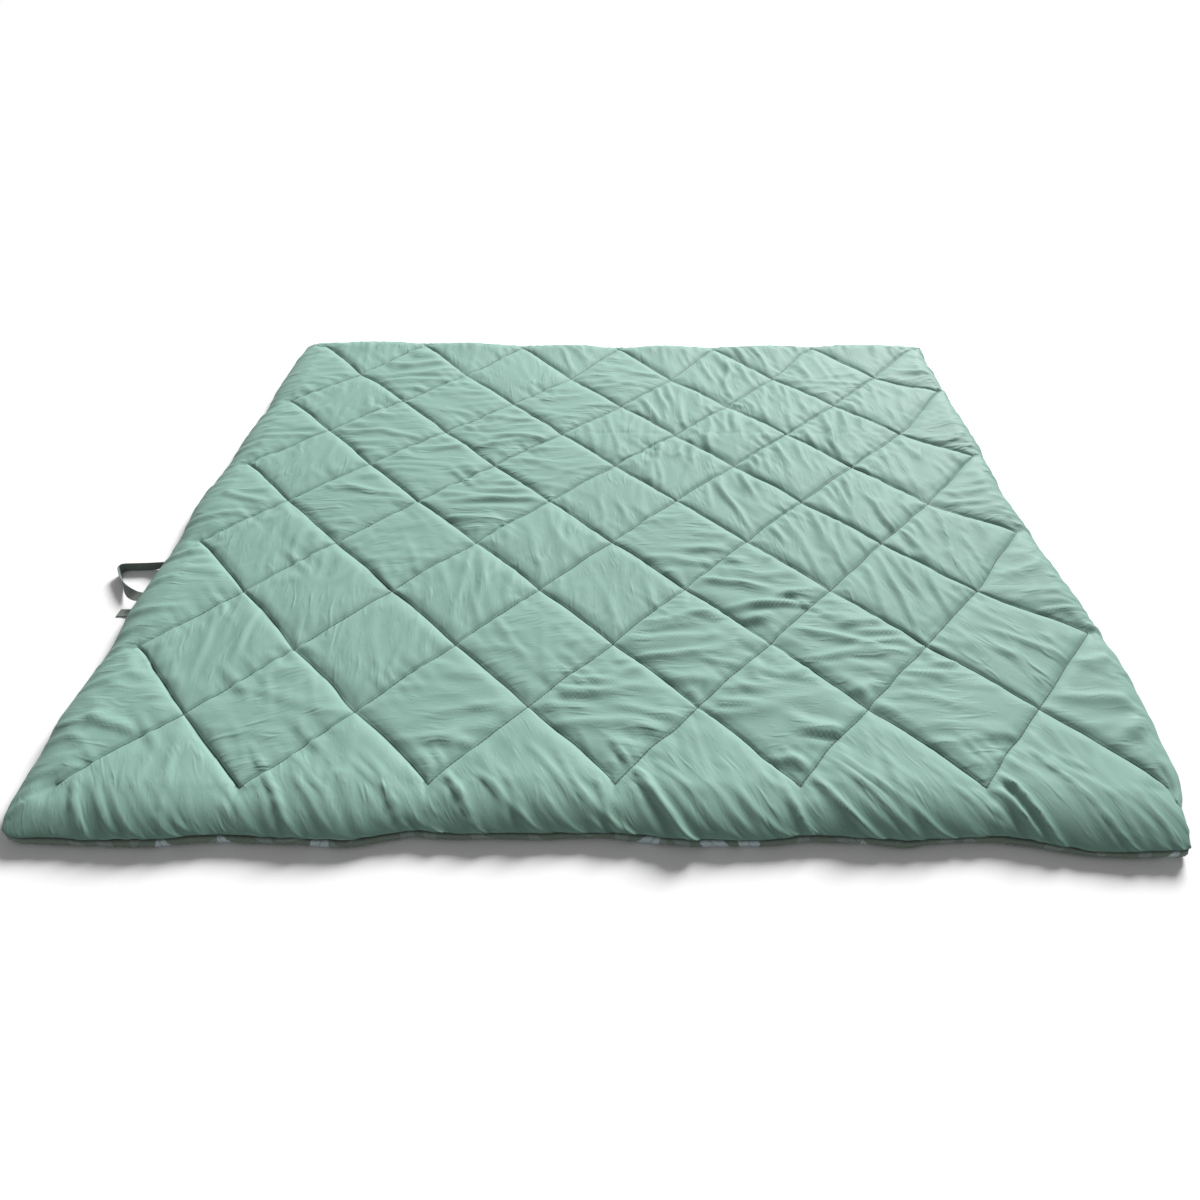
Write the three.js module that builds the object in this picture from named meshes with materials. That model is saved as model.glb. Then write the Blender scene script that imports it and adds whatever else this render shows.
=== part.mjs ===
// A diamond-quilted comforter lying flat: the filled cover, its printed backing, and the webbing
// loop and webbing end that are sewn into the left side seam.
//
// Millimetres, +Z up. X runs across the width and Y along the depth. The origin is the centre of
// the underside, on the surface that the comforter lies on.

import * as THREE from "three";

// Quilting: zigzag stitch lines at 45 degrees that cross into diamonds standing on a corner.
const DIAMOND = 355; // from corner to corner
const DIAMONDS_ACROSS = 6;
const DIAMONDS_DEEP = 5;
const STEPS_PER_DIAMOND = 6; // facets along one diamond, even so that a stitch line is a facet edge

// Outline, as the quilting has drawn it in from a cut size of 2300 by 2000
const HALF_WIDTH = 1130;
const HALF_DEPTH = 982;
const CORNER_RADIUS = 80;
const CORNER_REACH = 26; // how much further a corner reaches than the middle of the front or back
const SCALLOP = 7; // how far the edge swings in and out between neighbouring diamonds

// Heights over the surface
const SEAM_HEIGHT = 28;
const CHANNEL_HEIGHT = 40;
const CROWN_HEIGHT = 60;
const EDGE_CROWN_HEIGHT = 64;
const CROWN_SWING = 3; // how unevenly the filling has settled from cell to cell
const PUFF = 0.45; // under 1 gives a full cell with a narrow channel

// The roll that the filling makes at the edge, over and under the seam
const UPPER_ROLL = 50;
const LOWER_ROLL = 38;
const ROLL_STEPS = 4;

const CLOTH = 2; // backing cloth with the wadding that is caught in it
const GAP = 0.5; // between pieces that touch

// Webbing
const WEB_WIDTH = 25;
const WEB_THICKNESS = 1.8;

const innerHalfWidth = (DIAMOND * DIAMONDS_ACROSS) / 2;
const innerHalfDepth = (DIAMOND * DIAMONDS_DEEP) / 2;
const step = DIAMOND / STEPS_PER_DIAMOND;
const columns = DIAMONDS_ACROSS * STEPS_PER_DIAMOND;
const rows = DIAMONDS_DEEP * STEPS_PER_DIAMOND;

/** Collects the corners and triangles of one closed body. */
class Body {
  corners = [];
  triangles = [];

  corner(x, y, z) {
    this.corners.push(x, y, z);
    return this.corners.length / 3 - 1;
  }

  triangle(a, b, c) {
    this.triangles.push(a, b, c);
  }

  quad(a, b, c, d) {
    this.triangle(a, b, c);
    this.triangle(a, c, d);
  }

  /** Joins two rings of the same number of corners with a band of facets. */
  band(ring, next) {
    for (let i = 0; i < ring.length; i++) {
      const j = (i + 1) % ring.length;
      this.quad(ring[i], ring[j], next[j], next[i]);
    }
  }

  /** Fills a flat ring, facing up or down. */
  lid(ring, up) {
    const flat = ring.map((i) => new THREE.Vector2(this.corners[3 * i], this.corners[3 * i + 1]));
    for (const [a, b, c] of THREE.ShapeUtils.triangulateShape(flat, [])) {
      if (up) this.triangle(ring[a], ring[b], ring[c]);
      else this.triangle(ring[a], ring[c], ring[b]);
    }
  }

  mesh(name, material) {
    const geometry = new THREE.BufferGeometry();
    geometry.setAttribute("position", new THREE.Float32BufferAttribute(this.corners, 3));
    geometry.setIndex(this.triangles);
    geometry.computeVertexNormals();
    const mesh = new THREE.Mesh(geometry, material);
    mesh.name = name;
    return mesh;
  }
}

/** Height of a filled cell: full in the middle and down to the stitches on its four sides. */
function cellHeight(x, y) {
  const across = Math.abs(Math.cos((Math.PI * (x + y)) / DIAMOND));
  const along = Math.abs(Math.cos((Math.PI * (x - y)) / DIAMOND));
  const settled = CROWN_SWING * Math.sin(x / 310 + 1.3) * Math.cos(y / 270 - 0.4);
  return CHANNEL_HEIGHT + (CROWN_HEIGHT + settled - CHANNEL_HEIGHT) * (across * along) ** PUFF;
}

/** The seam's plan position straight out from a point on the border of the quilting. */
function seamPoint([x, y]) {
  const sideways = x / innerHalfWidth;
  const lengthways = y / innerHalfDepth;
  const swingX = SCALLOP * Math.cos((2 * Math.PI * y) / DIAMOND);
  const swingY = SCALLOP * -Math.cos((2 * Math.PI * x) / DIAMOND);
  const reach = CORNER_REACH * sideways ** 6;
  const point = new THREE.Vector2(
    sideways * (HALF_WIDTH + swingX * Math.abs(sideways)),
    lengthways * (HALF_DEPTH + reach + swingY * Math.abs(lengthways)),
  );
  const centre = new THREE.Vector2(
    Math.sign(x) * (HALF_WIDTH - CORNER_RADIUS),
    Math.sign(y) * (HALF_DEPTH + CORNER_REACH - CORNER_RADIUS),
  );
  const inCorner = Math.abs(point.x) > Math.abs(centre.x) && Math.abs(point.y) > Math.abs(centre.y);
  const spoke = point.clone().sub(centre);
  if (inCorner && spoke.length() > CORNER_RADIUS) {
    return centre.add(spoke.setLength(CORNER_RADIUS));
  }
  return point;
}

/** The border of the quilting, as grid places, anticlockwise from the front left. */
function borderPlaces() {
  const places = [];
  for (let c = 0; c < columns; c++) places.push([c, 0]);
  for (let r = 0; r < rows; r++) places.push([columns, r]);
  for (let c = columns; c > 0; c--) places.push([c, rows]);
  for (let r = rows; r > 0; r--) places.push([0, r]);
  return places;
}

const gridPoint = ([column, row]) => [column * step - innerHalfWidth, row * step - innerHalfDepth];
const border = borderPlaces();

/** A ring of corners at one inset from the seam. A height is a number or a function of the border. */
function ring(body, inset, height) {
  return border.map((place) => {
    const inner = gridPoint(place);
    const seam = seamPoint(inner);
    const toInner = new THREE.Vector2(...inner).sub(seam);
    const share = inset / toInner.length();
    const z = typeof height === "number" ? height : height(inner);
    return body.corner(seam.x + toInner.x * share, seam.y + toInner.y * share, z);
  });
}

/** Rings of the underside from the seam to the flat, moved inwards by an offset. */
function undersideRings(body, offset) {
  const rings = [];
  for (let i = 0; i <= ROLL_STEPS; i++) {
    const turn = ((Math.PI / 2) * i) / ROLL_STEPS;
    const normal = new THREE.Vector2(Math.cos(turn) / LOWER_ROLL, Math.sin(turn) / SEAM_HEIGHT);
    normal.setLength(offset);
    const inset = LOWER_ROLL * (1 - Math.cos(turn)) + normal.x;
    rings.push(ring(body, inset, SEAM_HEIGHT * (1 - Math.sin(turn)) + normal.y));
  }
  return rings;
}

/** Rings of the upper roll, from just over the seam to the border of the quilting. */
function upperRings(body) {
  const foot = SEAM_HEIGHT + GAP;
  const rings = [ring(body, 0, foot)];
  for (let i = 1; i <= ROLL_STEPS; i++) {
    const turn = ((Math.PI / 2) * i) / ROLL_STEPS;
    const crown = (inner) => 0.4 * cellHeight(...inner) + 0.6 * EDGE_CROWN_HEIGHT;
    const height = (inner) => foot + (crown(inner) - foot) * Math.sin(turn);
    rings.push(ring(body, UPPER_ROLL * (1 - Math.cos(turn)), height));
  }
  return rings;
}

/** The cover with its filling: sewn channels above, a roll at the edge, flat underneath. */
function filledCover(material) {
  const body = new Body();
  const grid = [];
  for (let r = 0; r <= rows; r++) {
    for (let c = 0; c <= columns; c++) {
      const [x, y] = gridPoint([c, r]);
      grid.push(body.corner(x, y, cellHeight(x, y)));
    }
  }
  const at = (c, r) => grid[r * (columns + 1) + c];
  for (let r = 0; r < rows; r++) {
    for (let c = 0; c < columns; c++) {
      const [a, b, d, e] = [at(c, r), at(c + 1, r), at(c + 1, r + 1), at(c, r + 1)];
      // The facet's diagonal runs along the stitch line, or along its parallel.
      const half = STEPS_PER_DIAMOND / 2;
      const rising = (Math.floor(c / half) + Math.floor(r / half)) % 2 === 0;
      if (rising) body.quad(a, b, d, e);
      else body.quad(b, d, e, a);
    }
  }

  const top = upperRings(body);
  for (let i = 0; i < top.length - 1; i++) body.band(top[i], top[i + 1]);
  body.band(top[top.length - 1], border.map(([c, r]) => at(c, r)));

  const under = undersideRings(body, CLOTH + GAP);
  under[0] = ring(body, CLOTH + GAP, SEAM_HEIGHT + GAP);
  body.band(under[0], top[0]);
  for (let i = 0; i < under.length - 1; i++) body.band(under[i + 1], under[i]);
  body.lid(under[under.length - 1], false);
  return body.mesh("quilt_cover", material);
}

/** The backing: a sheet that lies flat and turns up to the seam all round. */
function backing(material) {
  const body = new Body();
  const outside = undersideRings(body, 0);
  const inside = undersideRings(body, CLOTH);
  for (let i = 0; i < outside.length - 1; i++) {
    body.band(outside[i + 1], outside[i]);
    body.band(inside[i], inside[i + 1]);
  }
  body.band(outside[0], inside[0]);
  body.lid(outside[outside.length - 1], false);
  body.lid(inside[inside.length - 1], true);
  return body.mesh("backing", material);
}

/** Webbing along a route of [x, y, z, turn], where turn is the tilt of its width in degrees. */
function webbing(name, route, steps, material) {
  const body = new Body();
  const path = new THREE.CatmullRomCurve3(route.map(([x, y, z]) => new THREE.Vector3(x, y, z)));
  const up = new THREE.Vector3(0, 0, 1);
  const sections = [];
  for (let i = 0; i <= steps; i++) {
    const t = i / steps;
    const centre = path.getPoint(t);
    const tangent = path.getTangent(t);
    const place = Math.min(t * (route.length - 1), route.length - 1.001);
    const before = Math.floor(place);
    const turn = THREE.MathUtils.lerp(route[before][3], route[before + 1][3], place - before);
    const across = new THREE.Vector3().crossVectors(up, tangent).normalize();
    across.applyAxisAngle(tangent, THREE.MathUtils.degToRad(turn));
    const face = new THREE.Vector3().crossVectors(tangent, across);
    const halves = [[-1, -1], [1, -1], [1, 1], [-1, 1]];
    sections.push(halves.map(([w, h]) => {
      const p = centre.clone();
      p.addScaledVector(across, (w * WEB_WIDTH) / 2).addScaledVector(face, (h * WEB_THICKNESS) / 2);
      return body.corner(p.x, p.y, p.z);
    }));
  }
  for (let i = 0; i < steps; i++) body.band(sections[i], sections[i + 1]);
  body.quad(...[...sections[0]].reverse());
  body.quad(...sections[steps]);
  return body.mesh(name, material);
}

// The loop leaves the seam, twists onto its edge, turns back and twists flat again into the seam.
const LOOP_ROUTE = [
  [-1128.5, -236, 29, 25],
  [-1152, -238, 21, 52],
  [-1184, -241, 13.2, 86],
  [-1225, -244, 12.8, 90],
  [-1255, -246, 12.8, 90],
  [-1264, -253, 12.8, 90],
  [-1261, -267, 12.8, 90],
  [-1240, -300, 13, 84],
  [-1212, -334, 17, 58],
  [-1176, -362, 24, 24],
  [-1140.5, -375, 29, 6],
];

// The other end of the webbing comes out beside the loop and lies on the surface.
const END_ROUTE = [
  [-1140.5, -403, 27, 0],
  [-1156, -402.5, 17, 0],
  [-1172, -402, 6, 0],
  [-1188, -401, 1.5, 0],
  [-1207, -400, 1.2, 0],
];

const coverCloth = new THREE.MeshStandardMaterial({ color: 0x98b9ae, roughness: 0.6, metalness: 0 });
const backingCloth = new THREE.MeshStandardMaterial({ color: 0x8fa39a, roughness: 0.8, metalness: 0 });
const webbingCloth = new THREE.MeshStandardMaterial({ color: 0x74857d, roughness: 0.75, metalness: 0 });

const quilt = new THREE.Group();
quilt.add(filledCover(coverCloth));
quilt.add(backing(backingCloth));
quilt.add(webbing("strap_loop", LOOP_ROUTE, 40, webbingCloth));
quilt.add(webbing("strap_end", END_ROUTE, 12, webbingCloth));

export default quilt;
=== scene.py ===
"""Looks for a diamond-quilted comforter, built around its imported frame."""
import logging
import math
import random
from dataclasses import dataclass, field
from enum import Enum
from functools import partial

import bpy
import numpy as np
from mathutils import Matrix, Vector, noise


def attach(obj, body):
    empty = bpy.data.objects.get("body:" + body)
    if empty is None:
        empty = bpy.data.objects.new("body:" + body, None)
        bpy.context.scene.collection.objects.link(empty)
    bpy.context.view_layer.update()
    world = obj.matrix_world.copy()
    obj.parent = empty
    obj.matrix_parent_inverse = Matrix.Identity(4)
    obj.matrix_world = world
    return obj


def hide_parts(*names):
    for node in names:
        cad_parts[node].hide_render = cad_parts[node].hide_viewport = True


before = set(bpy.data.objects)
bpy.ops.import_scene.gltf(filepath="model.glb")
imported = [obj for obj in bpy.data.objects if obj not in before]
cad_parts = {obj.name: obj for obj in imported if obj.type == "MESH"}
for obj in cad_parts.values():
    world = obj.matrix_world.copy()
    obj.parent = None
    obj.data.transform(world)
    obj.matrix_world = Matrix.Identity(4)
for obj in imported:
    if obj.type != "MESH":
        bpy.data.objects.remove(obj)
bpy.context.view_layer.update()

LOG = logging.getLogger("comforter")
BODY = "root"


class Node(Enum):
    """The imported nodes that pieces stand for."""

    COVER = "quilt_cover"
    BACKING = "backing"
    LOOP = "strap_loop"
    END = "strap_end"


class Slot(Enum):
    """The record's material slots."""

    COVER = "cover_cloth"
    BACKING = "backing_cloth"
    WEBBING = "webbing"


class Fold(Enum):
    """How the cloth of one cell has folded."""

    SMOOTH = "s"
    LEVEL = "l"
    UPRIGHT = "u"
    MIXED = "m"
    SLANTED = "d"


# ---------------------------------------------------------------- modelling tools


def deselect_all() -> None:
    """Leaves edit mode and deselects every object."""
    if bpy.context.object and bpy.context.object.mode != "OBJECT":
        bpy.ops.object.mode_set(mode="OBJECT")
    bpy.ops.object.select_all(action="DESELECT")


def make_active(piece: bpy.types.Object) -> None:
    """Selects one object alone and makes it the active one.

    Args:
        piece: The object that the next operators act on.
    """
    deselect_all()
    piece.select_set(True)
    bpy.context.view_layer.objects.active = piece


def apply_modifiers(piece: bpy.types.Object) -> None:
    """Applies every modifier of a piece, first to last.

    Args:
        piece: The object whose modifiers are applied.
    """
    make_active(piece)
    for modifier in list(piece.modifiers):
        bpy.ops.object.modifier_apply(modifier=modifier.name)


def smooth_faces(piece: bpy.types.Object) -> None:
    """Shades a piece smooth.

    Args:
        piece: The object whose faces are shaded.
    """
    make_active(piece)
    bpy.ops.object.shade_smooth()


def read_points(piece: bpy.types.Object) -> np.ndarray:
    """Reads a mesh's vertex places.

    Args:
        piece: The mesh object.

    Returns:
        The places, one row a vertex, in metres.
    """
    points = np.empty(len(piece.data.vertices) * 3)
    piece.data.vertices.foreach_get("co", points)
    return points.reshape(-1, 3)


def write_points(piece: bpy.types.Object, points: np.ndarray) -> None:
    """Moves a mesh's vertices.

    Args:
        piece: The mesh object.
        points: The new places, one row a vertex, in metres.
    """
    piece.data.vertices.foreach_set("co", np.ascontiguousarray(points).ravel())
    piece.data.update()


def read_normals(piece: bpy.types.Object) -> np.ndarray:
    """Reads a mesh's vertex normals.

    Args:
        piece: The mesh object.

    Returns:
        The normals, one row a vertex.
    """
    normals = np.empty(len(piece.data.vertices) * 3)
    piece.data.vertex_normals.foreach_get("vector", normals)
    return normals.reshape(-1, 3)


def store_values(piece: bpy.types.Object, name: str, values: np.ndarray) -> None:
    """Stores one value for each vertex, for a material to read.

    Args:
        piece: The mesh object.
        name: The attribute's name.
        values: The values, one a vertex.
    """
    layer = piece.data.attributes.new(name, "FLOAT", "POINT")
    layer.data.foreach_set("value", values.astype(np.float32))


def corner_vertices(mesh: bpy.types.Mesh) -> np.ndarray:
    """Reads which vertex each face corner is at.

    Args:
        mesh: The mesh.

    Returns:
        The vertices' numbers, one a corner.
    """
    corners = np.empty(len(mesh.loops), np.int32)
    mesh.loops.foreach_get("vertex_index", corners)
    return corners


def lay_map(mesh: bpy.types.Mesh, name: str, places: np.ndarray) -> None:
    """Gives a mesh one UV map in place of any that it has.

    Args:
        mesh: The mesh.
        name: The map's name.
        places: The map's places, one row a face corner.
    """
    for layer in list(mesh.uv_layers):
        mesh.uv_layers.remove(layer)
    mesh.uv_layers.new(name=name).data.foreach_set("uv", places.ravel())


def softened(piece: bpy.types.Object, free: np.ndarray, share: float, times: int = 1) -> np.ndarray:
    """Works out where vertices go as they move towards the middle of their neighbours.

    Args:
        piece: The mesh object.
        free: Which vertices may move.
        share: How much of the way they move.
        times: How often.

    Returns:
        The new places, one row a vertex, in metres.
    """
    points = read_points(piece)
    edges = np.empty(len(piece.data.edges) * 2, np.int32)
    piece.data.edges.foreach_get("vertices", edges)
    edges = edges.reshape(-1, 2)
    count = np.bincount(edges.ravel(), minlength=len(points))[:, None]
    for _ in range(times):
        total = np.zeros_like(points)
        np.add.at(total, edges[:, 0], points[edges[:, 1]])
        np.add.at(total, edges[:, 1], points[edges[:, 0]])
        points = np.where(free[:, None], (1 - share) * points + share * total / count, points)
    return points


def soft_noise(x: np.ndarray, y: np.ndarray, seed: float) -> np.ndarray:
    """Smooth noise over a sheet.

    Args:
        x: First coordinates, in lumps.
        y: Second coordinates, in lumps.
        seed: A number that picks the pattern.

    Returns:
        A value from about -1 to 1 for each place.
    """
    return np.array([noise.noise((a, b, seed)) for a, b in zip(x.tolist(), y.tolist())])


def smoothstep(low: float, high: float, value: np.ndarray) -> np.ndarray:
    """Rises softly from 0 at low to 1 at high.

    Args:
        low: Where the rise starts.
        high: Where it ends.
        value: The values to read.

    Returns:
        The share risen, from 0 to 1.
    """
    t = np.clip((value - low) / (high - low), 0, 1)
    return t * t * (3 - 2 * t)


@dataclass(frozen=True)
class Ripple:
    """A soft unevenness over a sheet: its height, the size of its lumps, and its pattern."""

    height: float
    size: float
    seed: float

    def at(self, x: np.ndarray, y: np.ndarray) -> np.ndarray:
        """Reads the unevenness at each place, in metres."""
        return self.height * soft_noise(x / self.size, y / self.size, self.seed)


# ---------------------------------------------------------------- material tools


def new_material(name: str) -> tuple[bpy.types.Material, bpy.types.NodeTree, bpy.types.Node]:
    """Makes a material.

    Args:
        name: Its name.

    Returns:
        The material, its node tree and its shader.
    """
    material = bpy.data.materials.new(name)
    material.use_nodes = True
    return material, material.node_tree, material.node_tree.nodes["Principled BSDF"]


def add_node(tree: bpy.types.NodeTree, kind: str, inputs: dict[str | int, object] | None = None,
             **settings: object) -> bpy.types.Node:
    """Adds one node.

    Args:
        tree: The material's nodes.
        kind: The node's type, without the words that every shader node's type starts with.
        inputs: What each input takes, a socket to join to it or a value to set.
        settings: The node's own settings.

    Returns:
        The node.
    """
    node = tree.nodes.new("ShaderNode" + kind)
    for name, setting in settings.items():
        setattr(node, name, setting)
    for name, value in (inputs or {}).items():
        if isinstance(value, bpy.types.NodeSocket):
            tree.links.new(value, node.inputs[name])
        else:
            node.inputs[name].default_value = value
    return node


def add_math(tree: bpy.types.NodeTree, operation: str, *values: object) -> bpy.types.NodeSocket:
    """Adds one Math node and joins or sets its inputs in order."""
    return add_node(tree, "Math", dict(enumerate(values)), operation=operation).outputs[0]


def add_noise(tree: bpy.types.NodeTree, place: bpy.types.NodeSocket, scale: float,
              detail: float = 2) -> bpy.types.NodeSocket:
    """Adds noise with so many lumps to the unit of its places."""
    return add_node(tree, "TexNoise", {"Vector": place, "Scale": scale, "Detail": detail}).outputs["Fac"]


def add_range(tree: bpy.types.NodeTree, value: bpy.types.NodeSocket, start: tuple[float, float],
              end: tuple[float, float], curve: str = "LINEAR") -> bpy.types.NodeSocket:
    """Maps a value from one range to another and keeps it within that.

    Args:
        tree: The material's nodes.
        value: The value.
        start: The range that it comes from.
        end: The range that it goes to.
        curve: Blender's word for the way between the ends.

    Returns:
        The mapped value.
    """
    ends = {"From Min": start[0], "From Max": start[1], "To Min": end[0], "To Max": end[1]}
    node = add_node(tree, "MapRange", {"Value": value, **ends}, interpolation_type=curve)
    return node.outputs["Result"]


def add_mix(tree: bpy.types.NodeTree, share: bpy.types.NodeSocket, first: object,
            second: object) -> bpy.types.NodeSocket:
    """Mixes two colours, from all of the first at a share of 0 to all of the second at 1."""
    mix = add_node(tree, "Mix", {"Factor": share, "A": first, "B": second}, data_type="RGBA")
    return mix.outputs["Result"]


def add_bump(tree: bpy.types.NodeTree, height: bpy.types.NodeSocket, distance: float, strength: float,
             under: bpy.types.NodeSocket | None = None) -> bpy.types.NodeSocket:
    """Adds a bump.

    Args:
        tree: The material's nodes.
        height: The pattern of heights.
        distance: The height of its 1 in metres.
        strength: How much of the bump shows.
        under: The normal that it lies over.

    Returns:
        The bumped normal.
    """
    inputs = {"Height": height, "Distance": distance, "Strength": strength}
    if under is not None:
        inputs["Normal"] = under
    return add_node(tree, "Bump", inputs).outputs["Normal"]


# ---------------------------------------------------------------- the quilting and the outline


@dataclass(frozen=True)
class Quilting:
    """Stitch lines at 45 degrees, which cross into diamonds that stand on a corner."""

    diamond: float = 0.355
    across: int = 6
    deep: int = 5

    @property
    def half_x(self) -> float:
        """Half the width that the stitch lines cover."""
        return self.diamond * self.across / 2

    @property
    def half_y(self) -> float:
        """Half the depth that the stitch lines cover."""
        return self.diamond * self.deep / 2

    def inner(self, flat: np.ndarray) -> np.ndarray:
        """Brings places in the margin to the border of the quilting.

        Args:
            flat: Places on the flat panel.

        Returns:
            The nearest places inside the quilting.
        """
        return np.clip(flat, (-self.half_x, -self.half_y), (self.half_x, self.half_y))

    def fullness(self, flat: np.ndarray) -> np.ndarray:
        """How far a place is from its cell's stitches.

        Args:
            flat: Places on the flat panel.

        Returns:
            0 on a stitch line and 1 in the middle of a cell.
        """
        x, y = self.inner(flat).T
        one = np.abs(np.cos(np.pi * (x + y) / self.diamond))
        other = np.abs(np.cos(np.pi * (x - y) / self.diamond))
        return one * other

    def to_lines(self, flat: np.ndarray) -> tuple[np.ndarray, np.ndarray]:
        """Signed distances to the nearest stitch line of each family.

        Args:
            flat: Places on the flat panel.

        Returns:
            The distance to the nearest falling line and to the nearest rising line, in metres.
        """
        x, y = flat.T
        side = self.diamond / math.sqrt(2)
        parts = []
        for way in (x + y, x - y):
            turns = way / self.diamond - 0.5
            parts.append((turns - np.round(turns)) * side)
        return parts[0], parts[1]

    def on_stitches(self, flat: np.ndarray) -> np.ndarray:
        """Finds the places that are sewn down.

        Args:
            flat: Places on the flat panel.

        Returns:
            True for each place on a stitch line, the runs out to the back corners among them.
        """
        near = 1e-4
        over = np.abs(flat) - (self.half_x, self.half_y)
        inside = (over < near).all(1)
        corner = (over > -near).all(1) & (flat[:, 1] > 0)
        falling, rising = self.to_lines(flat)
        return (np.minimum(np.abs(falling), np.abs(rising)) < near) & (inside | corner)

    def cells(self, flat: np.ndarray) -> np.ndarray:
        """Finds the centre of the cell that holds each place.

        Args:
            flat: Places on the flat panel.

        Returns:
            The cells' centres, in diamonds.
        """
        x, y = self.inner(flat).T
        one = np.round((x + y) / self.diamond)
        other = np.round((x - y) / self.diamond)
        return np.stack([(one + other) / 2, (one - other) / 2], 1)


@dataclass(frozen=True)
class Outline:
    """The edge seam as it lies, and how a flat panel reaches it."""

    quilting: Quilting
    left: float = 1.148
    right: float = 1.112
    half_y: float = 0.982
    corner_reach: float = 0.026
    scallop: float = 0.005
    seam_z: float = 0.027
    square: float = 2.7
    blunt: float = 1.65
    pulls: tuple[tuple[float, float, float, float, float], ...] = (  # x, y, move in x, in y, reach
        (-0.85, -0.70, -0.005, -0.030, 0.40), (-0.85, 0.00, -0.015, 0.000, 0.40),
        (0.85, 0.00, -0.015, 0.000, 0.40), (0.30, -0.10, -0.005, 0.010, 0.40),
        (-0.75, 0.70, 0.015, 0.025, 0.40), (-0.25, 0.62, 0.030, -0.010, 0.40),
        (0.30, 0.62, 0.015, -0.010, 0.40), (0.85, 0.70, 0.015, 0.010, 0.40),
        (1.10, 0.53, 0.035, 0.095, 0.15), (1.10, 0.17, 0.030, 0.065, 0.15),
        (1.10, -0.18, 0.015, 0.060, 0.15), (1.10, -0.53, 0.030, 0.050, 0.15),
        (0.20, -1.05, 0.000, -0.018, 0.25), (0.98, -1.00, 0.005, -0.024, 0.14),
        (1.15, -1.00, -0.050, 0.012, 0.10), (1.15, 1.00, 0.035, 0.000, 0.20),
        (1.15, 0.55, -0.020, 0.000, 0.15), (1.15, 0.10, -0.015, 0.000, 0.15),
        (-0.50, -1.05, 0.000, -0.010, 0.35), (0.70, -1.05, 0.000, -0.010, 0.25),
    )
    bow: float = 0.004
    back_pull: float = 0.050
    back_reach: float = 0.12
    edge_ripples: tuple[Ripple, ...] = (Ripple(0.005, 0.13, 4.2), Ripple(0.002, 0.03, 14.2))
    seam_ripples: tuple[Ripple, ...] = (Ripple(0.005, 0.16, 8.1), Ripple(0.002, 0.04, 2.1))
    drifts: tuple[Ripple, ...] = (Ripple(0.005, 0.085, 31.0), Ripple(0.005, 0.085, 47.0))  # in x, in y

    def reach(self, flat: np.ndarray) -> tuple[np.ndarray, np.ndarray, np.ndarray, np.ndarray]:
        """Finds where each place of the margin is between the quilting and the seam.

        Args:
            flat: Places on the flat panel, whose edge is the seam.

        Returns:
            The nearest place of the quilting, the way out from it, how far the seam is along that
            way, and each place's share of the way, from 0 at the quilting to 1 at the seam.
        """
        q = self.quilting
        inner = q.inner(flat)
        panel = np.abs(flat).max(0)
        out = (flat - inner) / (panel - (q.half_x, q.half_y))
        share = np.abs(out).max(1)
        power = np.where((flat[:, 0] > 0) & (flat[:, 1] < 0), self.blunt, self.square)
        length = (np.abs(out) ** power[:, None]).sum(1) ** (1 / power)
        way = np.where(length[:, None] > 0, out / np.maximum(length, 1e-9)[:, None], 0)
        wave_x = self.scallop * np.cos(2 * np.pi * flat[:, 1] / q.diamond)
        wave_y = -self.scallop * np.cos(2 * np.pi * flat[:, 0] / q.diamond)
        corner = self.corner_reach * (flat[:, 0] / panel[0]) ** 6
        half_x = np.where(flat[:, 0] < 0, self.left, self.right)
        margin = np.stack([half_x + wave_x - q.half_x, self.half_y + wave_y + corner - q.half_y], 1)
        for ripple in self.edge_ripples:
            margin += ripple.at(*inner.T)[:, None]
        size = np.maximum((np.abs(way) * margin).max(1), 1e-6)
        return inner, way * margin / size[:, None], size, share

    def seam_height(self, flat: np.ndarray) -> np.ndarray:
        """The seam's height next to each place, which rises and falls a little.

        Args:
            flat: Places on the flat panel.

        Returns:
            Heights in metres.
        """
        inner = self.quilting.inner(flat)
        height = np.full(len(flat), self.seam_z)
        for ripple in self.seam_ripples:
            height += ripple.at(*inner.T)
        return height

    def wandered(self, flat: np.ndarray, places: np.ndarray) -> np.ndarray:
        """Pulls the cloth about a little, as it is when it is spread out by hand.

        Args:
            flat: Places on the flat panel.
            places: The same places in plan.

        Returns:
            The moved places.
        """
        x, y = flat.T
        moved = places.copy()
        for at_x, at_y, dx, dy, reach in self.pulls:
            share = np.exp(-((x - at_x) ** 2 + (y - at_y) ** 2) / reach**2)
            moved += share[:, None] * (dx, dy)
        inner = self.quilting.inner(flat)
        inside = np.exp(-(((flat - inner) / 0.03) ** 2).sum(1))
        fall = np.pi * inner.sum(1) / self.quilting.diamond
        rise = np.pi * (inner[:, 0] - inner[:, 1]) / self.quilting.diamond
        falling = self.bow * inside * np.abs(np.cos(rise)) * np.sin(fall) ** 4
        rising = 0.5 * self.bow * inside * np.abs(np.cos(fall)) * np.sin(rise) ** 4
        moved += np.stack([falling - rising, falling + rising], 1) / math.sqrt(2)
        past = y - self.quilting.half_y
        near = np.exp(-((np.minimum(past, 0) / self.back_reach) ** 2))
        moved[:, 1] += self.back_pull * (near * (1 - np.clip(past / past.max(), 0, 1)) ** 1.5)
        for axis, drift in enumerate(self.drifts):
            moved[:, axis] += drift.at(x, y)
        return moved


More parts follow.
